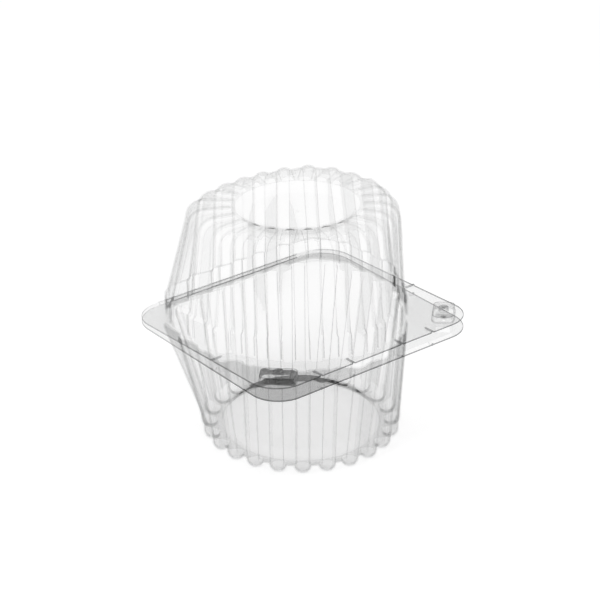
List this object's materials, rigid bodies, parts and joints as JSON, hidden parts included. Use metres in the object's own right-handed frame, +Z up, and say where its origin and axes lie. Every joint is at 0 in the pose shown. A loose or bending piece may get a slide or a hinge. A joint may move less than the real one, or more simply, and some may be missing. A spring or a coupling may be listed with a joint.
{
  "type": "clamshell pack",
  "caption": "Clear hinged clamshell pack with a fluted round cup, a wide square flange, a fluted domed lid and two corner snap bosses.",
  "frame": {"origin": "centre of the pack's box at the level of the feet", "axes": "+Z up, +Y towards the hinge, -Y towards the latch corners, +X to the right seen from the latch side"},
  "size_m": [0.11, 0.1024, 0.1079],
  "materials": {
    "clear_sheet": "clear gloss"
  },
  "bodies": {
    "base": {"base": "clear_sheet", "living_hinge": "clear_sheet"},
    "lid": {"lid": "clear_sheet"}
  },
  "joints": [
    {"name": "lid_hinge", "type": "hinge", "parent": "base", "child": "lid", "pos_m": [0, 0.05097, 0.05125], "axis": [-1, 0, 0], "range_deg": [-2.4, 177.6], "deforming": ["living_hinge"]}
  ]
}
